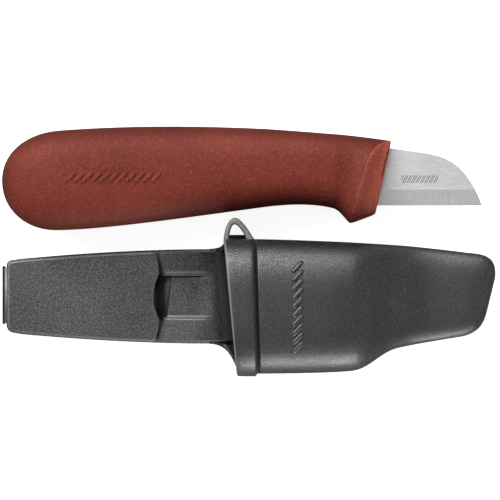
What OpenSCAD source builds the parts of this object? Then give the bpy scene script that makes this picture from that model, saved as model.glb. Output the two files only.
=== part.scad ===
// Short-bladed fixed-blade knife lying beside its moulded belt sheath.
// Both lie flat on the plane z = 0: +X runs towards the blade tip, +Y from the sheath to the knife.

/* [Blade] */
// Thickness of the blade steel
blade_t = 2; // [1.6:0.1:2.6]
// Height of the ground bevel above the cutting edge
bevel_h = 4.8; // [3.5:0.1:5]
// Length of the tang inside the handle
tang_len = 78; // [50:1:90]
// Height of the tang
tang_h = 10; // [8:0.5:11]

/* [Handle] */
// Thickness of the handle at the palm swell
swell_t = 22; // [20:0.5:23]
// Thickness of the soft grip over the hard core
grip_wall = 2.6; // [2:0.1:3]

/* [Sheath] */
// Height of the mouth collar above the ground plane
mouth_h = 28; // [27:0.5:30]
// Wall thickness of the pouch
wall = 2; // [1.6:0.1:2.2]
// How far the mouth collar stands proud of the pouch
collar_lip = 0.8; // [0.4:0.1:1]
// Thickness of the lanyard eye
eye_t = 3; // [2:0.1:4]

/* [Belt loop] */
// Thickness of the back strap
tongue_t = 2; // [1.8:0.1:2.2]
// Room for the belt between the back strap and the flap
belt_gap = 4.4; // [4.3:0.1:5]
// Thickness of the flap
flap_t = 1.8; // [1.6:0.1:2]
// Thickness of the web between the two folds
web_t = 0.8; // [0.6:0.1:0.8]
// Width of the gap round the free edge of the flap
flap_gap = 0.6; // [0.5:0.1:0.8]

/* [Hidden] */

STEEL = [0.78, 0.78, 0.79];
RED = [0.53, 0.25, 0.22];
CORE_RED = [0.55, 0.26, 0.2];
GREY = [0.29, 0.29, 0.3];

sides = 36;
joint_gap = 0.05;
fold_gap = 0.3;

// The knife is drawn about its own long axis, the sheath about its own, and both are then placed.
knife_y = 22;
knife_z = swell_t / 2;
sheath_y = -17;

// Plan outlines as cubic curves: one for the upper (+Y) and one for the lower (-Y) edge of each stretch.
butt_x = -74.9;
handle_top = [
    [[butt_x, -0.4], [butt_x, 8.6], [-67, 14.1], [-57.5, 14.85]],
    [[-57.5, 14.85], [-38, 16.4], [-16, 16.4], [6, 15.3]],
    [[6, 15.3], [13, 14.8], [20, 14.3], [27, 13.7]],
    [[27, 13.7], [32, 13.3], [37, 12.6], [42.2, 11.9]],
    [[42.2, 11.9], [42.6, 11.8], [43, 11.7], [43.3, 11.6]]];
handle_low = [
    [[butt_x, -0.4], [butt_x, -9.3], [-67.6, -15.5], [-58.5, -15.45]],
    [[-58.5, -15.45], [-45, -15.4], [-20, -11.8], [5, -8.4]],
    [[5, -8.4], [12, -7.5], [20, -7.2], [26, -8.9]],
    [[26, -8.9], [27.8, -9.7], [29, -11.6], [30.4, -13.05]],
    [[30.4, -13.05], [31, -13.7], [32.2, -12.95], [38.4, -10.7]]];

// Half thickness of the handle at the start and end of each stretch, and the bow of the nose ridge.
swell = swell_t / 2;
handle_half = [[0, swell], [swell, 9.7], [9.7, 8.8], [8.8, 9.6], [9.6, 6.4]];
butt_h = norm(handle_top[0][3] - handle_low[0][3]);
butt_power = 0.85;
handle_power = 2.6;
scallop = 0.9;
ridge_bow = 4.6;
bow_power = 14;

pouch_top = [
    [[1.3, 20.9], [12, 20.7], [22, 20.3], [31, 19.9]],
    [[31, 19.9], [36, 19.6], [41, 19.3], [45.5, 19]],
    [[45.5, 19], [52, 18.5], [59, 17.7], [66, 16.8]],
    [[66, 16.8], [70.5, 16.35], [75.8, 16.5], [75, 9.2]]];
pouch_low = [
    [[2.5, -20], [12, -19.9], [24, -19.8], [31, -19.2]],
    [[31, -19.2], [37, -18.6], [39.5, -13.6], [45.5, -12.2]],
    [[45.5, -12.2], [50, -11.2], [57, -10], [64, -8.9]],
    [[64, -8.9], [68.5, -8.2], [71, -6.2], [72.2, -2.2]]];
pouch_h = mouth_h - collar_lip;
pouch_front = [[pouch_h, pouch_h - 0.2, pouch_h - 0.6, 25.8], [25.8, 25, 19.5, 16.6],
               [16.6, 12.5, 13.1, 12.8], [12.8, 12.6, 12.2, 9.6]];
pouch_back = [[0, 0, 0, 0], [0, 0, 3, 3.4], [3.4, 3.6, 3.8, 4], [4, 4, 4.2, 6.4]];
front_power = 2.9;
back_power = 7;

// The collar runs from the slanted mouth plane to the pouch.
mouth_top = [-7.6, 21];
mouth_low = [-3.6, -20.8];
collar_top = pouch_top[0][0];
collar_low = pouch_low[0][0] - [0, collar_lip];
collar_w = 9;
collar_round = 0.5;
groove_w = 1.1;
groove_d = 1.1;

eye_z = 14;
eye_top = [-4.1, 27.3];
eye_left = -7.6;
eye_right = 2.2;
eye_band = 1.8;
eye_web = 1.1;

// Belt loop.
strap_x = -73.8;
strap_round = 1.3;
strap_end = -1;
tongue_end = -13.6;
tongue_half = 14.4;
tongue_taper = 3.3;
tongue_y = 3.4;
flap_inset = 0.35;
flap_z = tongue_t + belt_gap;
flap_apex = -26.4;
flap_round = 42;
notch_apex = -28.8;
notch_round = 15;
seat_h = flap_z + flap_t - 0.6;
web_low = -5;
web_high = 12.7;
web_x = strap_x - fold_gap - web_t / 2;
fold_low_z = tongue_t / 2;
fold_high_z = flap_z + flap_t / 2;

// Seat that the flap's free edge meets: its side view, channel, ribs, and the pockets that core it out.
seat_x = -29;
seat_mid = [-16, seat_h - 1.2];
seat_foot = [-9.5, tongue_t + 1.8];
seat_end = [-2, tongue_t + 0.6];
seat_inset = 0.75;
channel_x = -25;
channel_half = 6.3;
channel_drop = 0.5;
rib_x = -25.6;
rib_len = 14;
rib_w = 0.6;
rib_rise = 0.3;
pocket_x = -23.5;
pocket_len = 12;
pocket_w = 7;
pocket_pitch = 8.6;
pocket_roof = 1.6;

// Where the strap widens into the collar.
flare_top = [[-11.5, 17.7], [-9, 18], [-8.2, 18.4], [-7.8, 19.4]];
flare_low = [[-11.5, -10.95], [-7.4, -11.2], [-5.8, -13.5], [-4.6, -18]];

// Blade: cutting edge, back, and the tang inside the handle.
edge_y = -7.9;
edge_start = 36;
edge_flat = 0.1;
edge_reach = 40;
spine = [[52, 8.2], [61, 7], [66, 4.5], [70.9, edge_y]];
shoulder = [41.6, 9.65];
tang_y = -2.6;

// Size of a sheet or block that is larger than anything it cuts.
far = 90;

// Point on a cubic curve.
function curve(p, t) = pow(1 - t, 3) * p[0] + 3 * t * pow(1 - t, 2) * p[1]
    + 3 * t * t * (1 - t) * p[2] + pow(t, 3) * p[3];

// Signed power, which squares off a circle into a rounded section.
function squared(a, n) = sign(a) * pow(abs(a), 2 / n);

// Closed section between two plan points, from height zb to height zf.
function section(top, low, zf, zb, n_front, n_back, bow = 0) = [
    for (k = [0:sides - 1])
        let (a = 360 * k / sides, n = sin(a) < 0 ? n_back : n_front,
             v = (1 + squared(cos(a), n)) / 2, w = squared(sin(a), n))
        [low.x + (top.x - low.x - bow) * v + bow * pow(v, bow_power),
         low.y + (top.y - low.y) * v,
         (zf + zb) / 2 + w * (zf - zb) / 2]];

function toward(a, b, d) = a + d * (b - a) / norm(b - a);

// Section of the handle at place t of stretch i, drawn in by d on every side.
function handle_half_t(i, t) = i == 0
    ? swell * pow(norm(curve(handle_top[0], t) - curve(handle_low[0], t)) / butt_h, butt_power)
    : handle_half[i][0] + (handle_half[i][1] - handle_half[i][0]) * t * t * (3 - 2 * t)
        - (i == 3 ? scallop * sin(180 * t) : 0);
function handle_bow(i, t) = i == 3 ? ridge_bow * t * t : i == 4 ? ridge_bow * (1 - t) : 0;
function handle_section(i, t, d) =
    let (a = curve(handle_top[i], t), b = curve(handle_low[i], t), h = handle_half_t(i, t) - d)
    section(toward(a, b, d), toward(b, a, d), h, -h, handle_power, handle_power, handle_bow(i, t));

// Section of the pouch at place t of stretch i, drawn in by d on every side.
function pouch_section(i, t, d) =
    let (a = curve(pouch_top[i], t), b = curve(pouch_low[i], t))
    section(toward(a, b, d), toward(b, a, d), curve(pouch_front[i], t) - d,
            curve(pouch_back[i], t) + d, front_power, back_power);

// Section of the collar at share t of its width from the mouth, drawn in by d.
function collar_section(t, d) =
    let (a = mouth_top + t * (collar_top - mouth_top), b = mouth_low + t * (collar_low - mouth_low))
    section(toward(a, b, d), toward(b, a, d), mouth_h - d, d, front_power, back_power);

function strip(i, from, to, steps) = [for (k = [0:steps]) [i, from + (to - from) * k / steps]];
function backwards(a) = [for (k = [len(a) - 1:-1:0]) a[k]];

// Surface through a row of sections, with flat ends, or joined end to end as a ring.
module skin(rows, ring = false) {
    n = len(rows);
    walls = [for (i = [0:n - (ring ? 1 : 2)]) for (k = [0:sides - 1])
        let (a = i * sides, b = ((i + 1) % n) * sides, m = (k + 1) % sides)
        each [[a + k, b + k, a + m], [a + m, b + k, b + m]]];
    ends = ring ? [] : [[for (k = [0:sides - 1]) k], [for (k = [sides - 1:-1:0]) (n - 1) * sides + k]];
    polyhedron(points = [for (r = rows) each r], faces = concat(walls, ends), convexity = 6);
}

// Places along the handle and the pouch where sections are drawn.
butt_rows = strip(0, 0.06, 0.9, 8);
palm_rows = strip(1, 0, 0.875, 7);
neck_rows = strip(2, 0, 0.8, 4);
guard_rows = strip(3, 0, 1, 7);
nose_rows = strip(4, 0, 1, 4);
core_rows = concat(strip(0, 0.5, 0.9, 3), palm_rows, neck_rows, guard_rows);
pouch_rows = concat(strip(0, 0.12, 0.85, 4), strip(1, 0, 0.9, 7), strip(2, 0, 0.85, 4), strip(3, 0, 1, 8));
cavity_rows = concat(strip(0, 0, 0.85, 4), strip(1, 0, 0.9, 6), strip(2, 0, 0.85, 3), strip(3, 0, 0.7, 4));

module blade_outline() {
    polygon([
        [edge_start, edge_y], each [for (k = [20:-1:0]) curve(spine, k / 20)], shoulder,
        [shoulder.x, tang_y + tang_h], [edge_start - tang_len, tang_y + tang_h - 1],
        [edge_start - tang_len - 1, tang_y + tang_h - 2], [edge_start - tang_len - 1, tang_y + 2],
        [edge_start - tang_len, tang_y + 1], [edge_start, tang_y]]);
}

// Wedge taken off one face of the blade along its edge.
module bevel_cut() {
    translate([edge_start - 1, edge_y, 0])
        rotate([90, 0, 90])
            linear_extrude(edge_reach)
                polygon([[0, edge_flat / 2], [bevel_h, blade_t / 2], [bevel_h, blade_t], [-1, blade_t],
                         [-1, edge_flat / 2]]);
}

module knife_steel() {
    difference() {
        translate([0, 0, -blade_t / 2])
            linear_extrude(blade_t)
                blade_outline();
        bevel_cut();
        mirror([0, 0, 1])
            bevel_cut();
    }
}

module place_knife() {
    translate([0, knife_y, knife_z])
        children();
}

module place_sheath() {
    translate([0, sheath_y, 0])
        children();
}

module blade() {
    color(STEEL)
        place_knife()
            knife_steel();
}

// Hard core: fills the grip, holds the tang and shows as the nose in front of the ridge.
module handle_core() {
    color(CORE_RED)
        place_knife()
            difference() {
                skin(concat([for (r = core_rows) handle_section(r[0], r[1], grip_wall + joint_gap)],
                            [for (r = nose_rows) handle_section(r[0], r[1], r[1] > 0 ? 0 : joint_gap)]));
                knife_steel();
            }
}

// Soft grip moulded over the core, closed at the butt and open at the ridge.
module handle_grip() {
    color(RED)
        place_knife()
            skin(concat([for (r = concat(butt_rows, palm_rows, neck_rows, guard_rows))
                            handle_section(r[0], r[1], 0)],
                        [for (r = backwards(core_rows)) handle_section(r[0], r[1], grip_wall)]));
}

// Pouch: deep where the handle goes, shallow round the blade, with a groove behind the collar.
module sheath_pouch() {
    groove_t = groove_w / (pouch_top[0][3].x - pouch_top[0][0].x);
    color(GREY)
        place_sheath()
            skin(concat([for (r = backwards(cavity_rows)) pouch_section(r[0], r[1], wall)],
                        [pouch_section(0, 0, groove_d), pouch_section(0, groove_t, groove_d),
                         pouch_section(0, groove_t * 1.6, 0)],
                        [for (r = pouch_rows) pouch_section(r[0], r[1], 0)]));
}

// Thick band round the mouth.
module mouth_collar() {
    round_t = collar_round / collar_w;
    color(GREY)
        place_sheath()
            skin([collar_section(0, collar_round), collar_section(round_t, 0), collar_section(0.5, 0),
                  collar_section(1 - round_t, 0), collar_section(1, collar_round),
                  pouch_section(0, 0, wall), collar_section(0.5, wall + collar_lip),
                  collar_section(round_t, wall + collar_round), collar_section(0, wall)], ring = true);
}

// Outline of the lanyard eye above the collar's side, drawn in by d.
module eye_outline(d, base) {
    left = [[eye_left + d, base], [eye_left + 0.2 + d, 23.8], [-6.2, eye_top.y - d], eye_top - [0, d]];
    right = [eye_top - [0, d], [-2.2, eye_top.y - d], [0.2 - d * 0.6, 23.4], [eye_right - 1.9 * d, base]];
    polygon(concat([for (k = [0:10]) curve(left, k / 10)], [for (k = [1:10]) curve(right, k / 10)]));
}

module lanyard_eye() {
    color(GREY)
        place_sheath()
            translate([0, 0, eye_z - eye_t / 2])
                linear_extrude(eye_t)
                    difference() {
                        eye_outline(0, mouth_top.y + 0.02);
                        intersection() {
                            eye_outline(eye_band, mouth_top.y - 1);
                            translate([-far, mouth_top.y + eye_web])
                                square(2 * far);
                        }
                    }
}

// Half width of the strap at place x.
function strap_half(x) = tongue_half - tongue_taper * pow(max(0, tongue_end - x) / 60, 1.75);

// Strap outline from the fold to place x_end, drawn in by d, with rounded corners at the fold.
module strap_outline(x_end, d) {
    half = strap_half(strap_x) - d;
    xs = [for (k = [0:16]) strap_x + strap_round + (x_end - strap_x - strap_round) * k / 16];
    turns = [for (a = [0:22.5:67.5]) strap_round * [1 - cos(a), 1 - sin(a)]];
    polygon(concat(
        [for (p = turns) [strap_x + p.x, tongue_y + half - p.y]],
        [for (x = xs) [x, tongue_y + strap_half(x) - d]],
        [for (x = backwards(xs)) [x, tongue_y - strap_half(x) + d]],
        [for (p = backwards(turns)) [strap_x + p.x, tongue_y - half + p.y]]));
}

// Everything to the left of the mouth plane.
module left_of_mouth() {
    mouth_run = mouth_top - mouth_low;
    polygon([[-far, far], mouth_top + mouth_run, mouth_low - mouth_run, [-far, -far]]);
}

// Back strap, cored out under the flap seat and widened into the collar.
module belt_tongue() {
    color(GREY)
        place_sheath()
            linear_extrude(tongue_t)
                difference() {
                    intersection() {
                        union() {
                            strap_outline(strap_end, 0);
                            polygon(concat([for (k = [0:8]) curve(flare_top, k / 8)],
                                           [[0, flare_top[3].y], [0, flare_low[3].y]],
                                           [for (k = [8:-1:0]) curve(flare_low, k / 8)]));
                        }
                        left_of_mouth();
                    }
                    seat_pockets();
                }
}

// Plan of the three pockets that core out the seat from the back.
module seat_pockets() {
    for (i = [-1:1])
        translate([pocket_x, tongue_y + i * pocket_pitch - pocket_w / 2])
            square([pocket_len, pocket_w]);
}

// Block with the seat's side view, which drops towards the mouth, between two places across the strap.
module seat_block(start, lift, y_from, y_to) {
    translate([0, y_to, 0])
        rotate([90, 0, 0])
            linear_extrude(y_to - y_from)
                polygon([[start, tongue_t], [start, seat_h + lift], seat_mid + [0, lift],
                         seat_foot + [0, lift / 2], seat_end, [seat_end.x, tongue_t]]);
}

// Raised seat that the flap's free edge meets, with a finger recess in the middle of its edge.
module flap_seat() {
    color(GREY)
        place_sheath()
            difference() {
                intersection() {
                    translate([0, tongue_y, 0]) {
                        seat_block(seat_x, 0, channel_half, far);
                        seat_block(seat_x, 0, -far, -channel_half);
                        seat_block(channel_x, -channel_drop, -channel_half, channel_half);
                        for (y = [-channel_half, channel_half - rib_w])
                            intersection() {
                                seat_block(rib_x, rib_rise, y, y + rib_w);
                                translate([rib_x, y, 0])
                                    cube([rib_len, rib_w, far]);
                            }
                    }
                    linear_extrude(far)
                        difference() {
                            intersection() {
                                strap_outline(strap_end, seat_inset);
                                left_of_mouth();
                            }
                            translate([flap_apex + flap_gap - flap_round, tongue_y])
                                circle(flap_round, $fn = 180);
                        }
                }
                linear_extrude(seat_foot.y + (seat_mid.y - seat_foot.y) / 2 - pocket_roof)
                    seat_pockets();
            }
}

// Web between the two folds, rounded at each fold line.
module fold_strap() {
    color(GREY)
        place_sheath()
            translate([web_x, web_high, 0])
                rotate([90, 0, 0])
                    linear_extrude(web_high - web_low) {
                        translate([-web_t / 2, fold_low_z])
                            square([web_t, fold_high_z - fold_low_z]);
                        for (z = [fold_low_z, fold_high_z])
                            translate([0, z])
                                circle(web_t / 2, $fn = 32);
                    }
}

// Flap: its free edge is a shallow arc with a thumb notch.
module belt_flap() {
    color(GREY)
        place_sheath()
            translate([0, 0, flap_z])
                linear_extrude(flap_t)
                    difference() {
                        intersection() {
                            strap_outline(flap_apex + 5, flap_inset);
                            translate([flap_apex - flap_round, tongue_y])
                                circle(flap_round, $fn = 180);
                        }
                        translate([notch_apex + notch_round, tongue_y])
                            circle(notch_round, $fn = 96);
                    }
}

blade();
handle_core();
handle_grip();
sheath_pouch();
mouth_collar();
lanyard_eye();
belt_tongue();
flap_seat();
fold_strap();
belt_flap();
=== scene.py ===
import math

import bmesh
import bpy
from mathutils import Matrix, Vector


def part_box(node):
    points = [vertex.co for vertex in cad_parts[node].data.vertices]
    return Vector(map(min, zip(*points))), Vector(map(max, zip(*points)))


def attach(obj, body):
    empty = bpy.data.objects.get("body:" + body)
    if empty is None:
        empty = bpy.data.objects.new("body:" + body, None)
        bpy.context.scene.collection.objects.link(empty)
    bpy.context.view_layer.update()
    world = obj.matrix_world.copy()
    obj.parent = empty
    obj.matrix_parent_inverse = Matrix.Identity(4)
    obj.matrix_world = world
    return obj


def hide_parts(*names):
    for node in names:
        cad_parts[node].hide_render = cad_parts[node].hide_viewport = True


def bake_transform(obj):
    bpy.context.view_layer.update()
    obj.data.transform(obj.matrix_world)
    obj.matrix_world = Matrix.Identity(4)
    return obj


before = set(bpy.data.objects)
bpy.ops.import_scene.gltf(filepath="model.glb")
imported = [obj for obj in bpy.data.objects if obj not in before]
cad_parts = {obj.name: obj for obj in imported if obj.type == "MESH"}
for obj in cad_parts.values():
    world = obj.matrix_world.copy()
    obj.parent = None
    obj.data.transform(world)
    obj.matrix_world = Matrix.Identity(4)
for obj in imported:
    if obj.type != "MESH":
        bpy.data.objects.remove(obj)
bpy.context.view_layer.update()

MM = 0.001
# Point attribute that holds painted light: painted shade above 0, painted highlight below 0.
PAINTED_LIGHT = "relief"

# ---------------------------------------------------------------- camera, floor and light

VIEW_WIDTH = 152.5 * MM
VIEW_CENTRE = Vector((0.43 * MM, 0.55 * MM, 0.0))
LENS = 600.0
SENSOR = 36.0
TARGET = Vector((0, 0, 0.01))

# Softboxes: name, place, size across and up, and radiance. The first faces straight down, and the
# others face the object.
SOFTBOXES = [
    ("top_softbox", (-0.03, -0.05, 0.5), (0.2, 0.36), 0.65),
    ("key_softbox", (-0.5, 0.95, 0.95), (2.0, 0.75), 8.0),
    ("low_front_strip", (0.07, -0.27, 0.07), (0.19, 0.05), 22.0),
    ("right_strip", (1.2, 0.1, 0.65), (0.9, 0.35), 1.4),
    ("left_strip", (-1.2, 0.3, 0.55), (0.9, 0.35), 1.2)]
SKY = 0.15
FLOOR_WHITE = 0.8
FLOOR_GLOW = 0.85
FLOOR_THROW = 0.29
FLOOR_SIZE = 4.0
FLOOR_Z = -0.0002


def add_camera():
    data = bpy.data.cameras.new("camera")
    data.sensor_width = SENSOR
    data.lens = LENS
    data.clip_end = 20.0
    camera = bpy.data.objects.new("camera", data)
    camera.location = VIEW_CENTRE + Vector((0, 0, VIEW_WIDTH * LENS / SENSOR))
    bpy.context.scene.collection.objects.link(camera)
    bpy.context.scene.camera = camera


def add_softbox(name, place, size, radiance):
    data = bpy.data.lights.new(name, "AREA")
    data.shape = "RECTANGLE"
    data.size, data.size_y = size
    data.energy = radiance * math.pi * size[0] * size[1]
    light = bpy.data.objects.new(name, data)
    light.location = place
    facing = Vector((0, 0, -1)) if name == "top_softbox" else TARGET - Vector(place)
    light.rotation_euler = facing.to_track_quat("-Z", "Y").to_euler()
    bpy.context.scene.collection.objects.link(light)


def add_studio():
    scene = bpy.context.scene
    scene.view_settings.view_transform = "Standard"
    world = bpy.data.worlds.new("studio")
    world.use_nodes = True
    world.node_tree.nodes["Background"].inputs["Color"].default_value = (1, 1, 1, 1)
    world.node_tree.nodes["Background"].inputs["Strength"].default_value = SKY
    scene.world = world
    for box in SOFTBOXES:
        add_softbox(*box)
    bpy.ops.mesh.primitive_plane_add(size=FLOOR_SIZE, location=(0, 0, FLOOR_Z))
    floor = bpy.context.object
    floor.name = "floor"
    floor.data.materials.append(floor_paper())


def floor_paper():
    """Paper that glows white to the camera, and that reflects only FLOOR_THROW to every other ray.

    No real paper does both. The values were set to meet the photo's levels.
    """
    material, tree, shader = new_tree("floor_paper")
    seen = node(tree, "ShaderNodeLightPath").outputs["Is Camera Ray"]
    colour = mix_colours(tree, seen, (FLOOR_THROW,) * 3, (FLOOR_WHITE,) * 3)
    tree.links.new(colour, shader.inputs["Base Color"])
    tree.links.new(maths(tree, "MULTIPLY", seen, FLOOR_GLOW), shader.inputs["Emission Strength"])
    shader.inputs["Emission Color"].default_value = (1, 1, 1, 1)
    shader.inputs["Roughness"].default_value = 1.0
    shader.inputs["Specular IOR Level"].default_value = 0.0
    return material


# ---------------------------------------------------------------- materials

def new_tree(name):
    material = bpy.data.materials.new(name)
    material.use_nodes = True
    return material, material.node_tree, material.node_tree.nodes["Principled BSDF"]


def node(tree, kind, settings=None, values=None):
    made = tree.nodes.new(kind)
    for key, value in (settings or {}).items():
        setattr(made, key, value)
    for key, value in (values or {}).items():
        made.inputs[key].default_value = value
    return made


def place(tree, scale=(1, 1, 1)):
    """Object coordinates in millimetres, stretched."""
    coords = node(tree, "ShaderNodeTexCoord")
    mapping = node(tree, "ShaderNodeMapping", values={"Scale": tuple(s / MM for s in scale)})
    tree.links.new(coords.outputs["Object"], mapping.inputs["Vector"])
    return mapping.outputs["Vector"]


def noise(tree, vector, per_mm, detail=2.0, roughness=0.5, distortion=0.0):
    made = node(tree, "ShaderNodeTexNoise", values={
        "Scale": per_mm, "Detail": detail, "Roughness": roughness, "Distortion": distortion})
    tree.links.new(vector, made.inputs["Vector"])
    return made.outputs["Fac"]


def remap(tree, value, low, high, to_low, to_high):
    made = node(tree, "ShaderNodeMapRange", values={
        "From Min": low, "From Max": high, "To Min": to_low, "To Max": to_high})
    tree.links.new(value, made.inputs["Value"])
    return made.outputs["Result"]


def blend_colours(tree, value, low_colour, high_colour, low=0.3, high=0.7):
    ramp = node(tree, "ShaderNodeValToRGB")
    ramp.color_ramp.elements[0].position = low
    ramp.color_ramp.elements[0].color = (*low_colour, 1)
    ramp.color_ramp.elements[1].position = high
    ramp.color_ramp.elements[1].color = (*high_colour, 1)
    tree.links.new(value, ramp.inputs["Fac"])
    return ramp.outputs["Color"]


def mix_colours(tree, value, a, b):
    made = node(tree, "ShaderNodeMix", {"data_type": "RGBA"})
    sockets = {s.identifier: s for s in made.inputs}
    for target, source in (("Factor_Float", value), ("A_Color", a), ("B_Color", b)):
        if isinstance(source, tuple):
            sockets[target].default_value = (*source, 1)
        else:
            tree.links.new(source, sockets[target])
    return [s for s in made.outputs if s.identifier == "Result_Color"][0]


def maths(tree, operation, a, b=0.0, c=0.0):
    made = node(tree, "ShaderNodeMath", {"operation": operation})
    for socket, value in zip(made.inputs, (a, b, c)):
        if isinstance(value, (int, float)):
            socket.default_value = value
        else:
            tree.links.new(value, socket)
    return made.outputs["Value"]


def add_bump(tree, shader, height, depth_mm):
    made = node(tree, "ShaderNodeBump", values={"Strength": 1.0, "Distance": depth_mm * MM})
    tree.links.new(height, made.inputs["Height"])
    tree.links.new(made.outputs["Normal"], shader.inputs["Normal"])


# What the plastics turn to under painted shade in hollows and painted highlight on edges, and how strongly
# they reflect.
RED_PAINTED_SHADE = (0.03, 0.004, 0.003)
RED_PAINTED_SHADE_MIX = 0.7
RED_SPECULAR = 0.17
GREY_PAINTED_SHADE = (0.002, 0.002, 0.002)
GREY_PAINTED_HIGHLIGHT = (0.3, 0.3, 0.295)
GREY_SPECULAR = 0.9
# Grain, in features per millimetre.
RED_CELLS = 1.3
RED_WANDER = 0.9
RED_FINE = 2.6
RED_CLOUDS = 0.05
GREY_GRAIN = 2.3
GREY_SPARKS = 4.2
GREY_CLOUDS = 0.04


# Painted light of each point: painted shade above 0, painted highlight below 0.
def read_painted_light(tree):
    return node(tree, "ShaderNodeAttribute", {"attribute_name": PAINTED_LIGHT}).outputs["Fac"]


def red_plastic(name, dark, light, roughness, grain_depth):
    """Moulded red plastic with a fine leathery grain, and painted shade where its relief is above 0."""
    material, tree, shader = new_tree(name)
    shader.inputs["Specular IOR Level"].default_value = RED_SPECULAR
    where = place(tree)
    cells = node(tree, "ShaderNodeTexVoronoi", {"feature": "SMOOTH_F1"},
                 {"Scale": RED_CELLS, "Smoothness": 0.6})
    wander = noise(tree, where, RED_WANDER, 2.0)
    moved = node(tree, "ShaderNodeVectorMath", {"operation": "MULTIPLY_ADD"})
    tree.links.new(wander, moved.inputs[0])
    moved.inputs[1].default_value = (0.9, 0.9, 0.9)
    tree.links.new(where, moved.inputs[2])
    tree.links.new(moved.outputs["Vector"], cells.inputs["Vector"])
    fine = noise(tree, where, RED_FINE, 3.0, 0.6)
    grain = maths(tree, "MULTIPLY_ADD", fine, 0.8, cells.outputs["Distance"])
    add_bump(tree, shader, grain, grain_depth)
    broad = noise(tree, where, RED_CLOUDS, 3.0, 0.55)
    speckle = maths(tree, "MULTIPLY_ADD", grain, 0.45, maths(tree, "MULTIPLY", broad, 0.45))
    shade = remap(tree, read_painted_light(tree), 0, 1, 0, RED_PAINTED_SHADE_MIX)
    leathery = blend_colours(tree, speckle, dark, light, 0.42, 0.82)
    tree.links.new(mix_colours(tree, shade, leathery, RED_PAINTED_SHADE), shader.inputs["Base Color"])
    rough = remap(tree, fine, 0.3, 0.7, roughness - 0.07, roughness + 0.07)
    tree.links.new(rough, shader.inputs["Roughness"])
    return material


def grey_plastic(name, dark, light, roughness, grain_depth):
    """Dark grey moulded plastic with a speckled grain, dull and with painted shade in hollows and painted
    highlight on edges.
    """
    material, tree, shader = new_tree(name)
    shader.inputs["Specular IOR Level"].default_value = GREY_SPECULAR
    where = place(tree)
    relief = read_painted_light(tree)
    # Painted shade where the relief is above 0, painted highlight where it is below 0.
    hollow = remap(tree, relief, 0, 1, 0, 1)
    painted_highlight = remap(tree, relief, 0, -1, 0, 1)
    grain = noise(tree, where, GREY_GRAIN, 2.0, 0.6)
    sparks = noise(tree, where, GREY_SPARKS, 2.0, 0.6)
    height = maths(tree, "MULTIPLY_ADD", sparks, 0.4, grain)
    add_bump(tree, shader, height, grain_depth)
    broad = noise(tree, where, GREY_CLOUDS, 3.0, 0.5)
    tone = maths(tree, "MULTIPLY_ADD", height, 0.62, maths(tree, "MULTIPLY", broad, 0.12))
    speckled = blend_colours(tree, tone, dark, light, 0.47, 0.57)
    with_painted_highlight = mix_colours(tree, painted_highlight, speckled, GREY_PAINTED_HIGHLIGHT)
    tree.links.new(mix_colours(tree, hollow, with_painted_highlight, GREY_PAINTED_SHADE), shader.inputs["Base Color"])
    rough = remap(tree, height, 0.6, 0.8, roughness + 0.12, roughness - 0.08)
    tree.links.new(maths(tree, "MAXIMUM", rough, hollow), shader.inputs["Roughness"])
    return material


# Etched mark on the blade: a short rope row of slanted strokes, in the blade's own millimetres.
ETCH_X = (46.3, 57.6)
ETCH_Y = (20.9, 23.2)
ETCH_PITCH = 1.35
ETCH_LEAN = 0.55


def etched_row(tree, x, y):
    """1 inside the slanted strokes of the etched row, 0 elsewhere."""
    inside = None
    for value, (low, high) in ((x, ETCH_X), (y, ETCH_Y)):
        for edge, sign in ((low, 1), (high, -1)):
            step = remap(tree, value, edge - 0.06 * sign, edge + 0.06 * sign, 0, 1)
            inside = step if inside is None else maths(tree, "MULTIPLY", inside, step)
    slanted = maths(tree, "MULTIPLY_ADD", y, -ETCH_LEAN, x)
    wave = maths(tree, "SINE", maths(tree, "MULTIPLY", slanted, 2 * math.pi / ETCH_PITCH))
    rim = remap(tree, maths(tree, "ABSOLUTE", maths(tree, "SUBTRACT", wave, 0.25)), 0.62, 0.3, 0, 1)
    return maths(tree, "MULTIPLY", inside, rim)


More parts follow.
